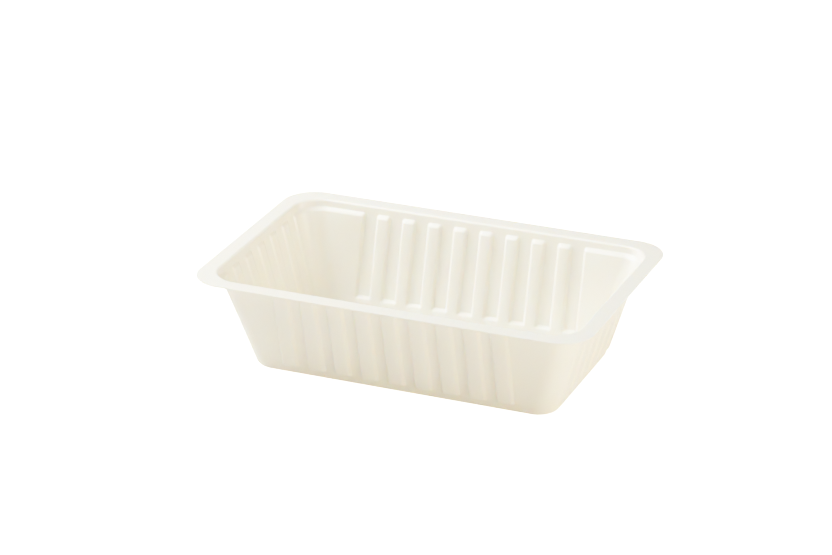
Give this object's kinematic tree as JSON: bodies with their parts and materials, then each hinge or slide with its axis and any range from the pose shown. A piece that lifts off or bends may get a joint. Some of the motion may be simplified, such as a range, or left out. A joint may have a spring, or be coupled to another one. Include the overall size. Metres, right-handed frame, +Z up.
{
  "type": "plastic fries tray",
  "caption": "Shallow rectangular snack tray formed from one thin plastic sheet, with a flat rim, sloping ribbed walls, rounded corners and a flat floor.",
  "frame": {"origin": "centre of the floor's underside, on the surface the tray stands on", "axes": "+X along the tray's long side, +Y along its short side, +Z up out of the open top"},
  "size_m": [0.17, 0.11, 0.0428],
  "materials": {
    "cream_plastic": "satin, off-white and slightly translucent"
  },
  "bodies": {
    "root": {"tray": "cream_plastic"}
  },
  "joints": []
}
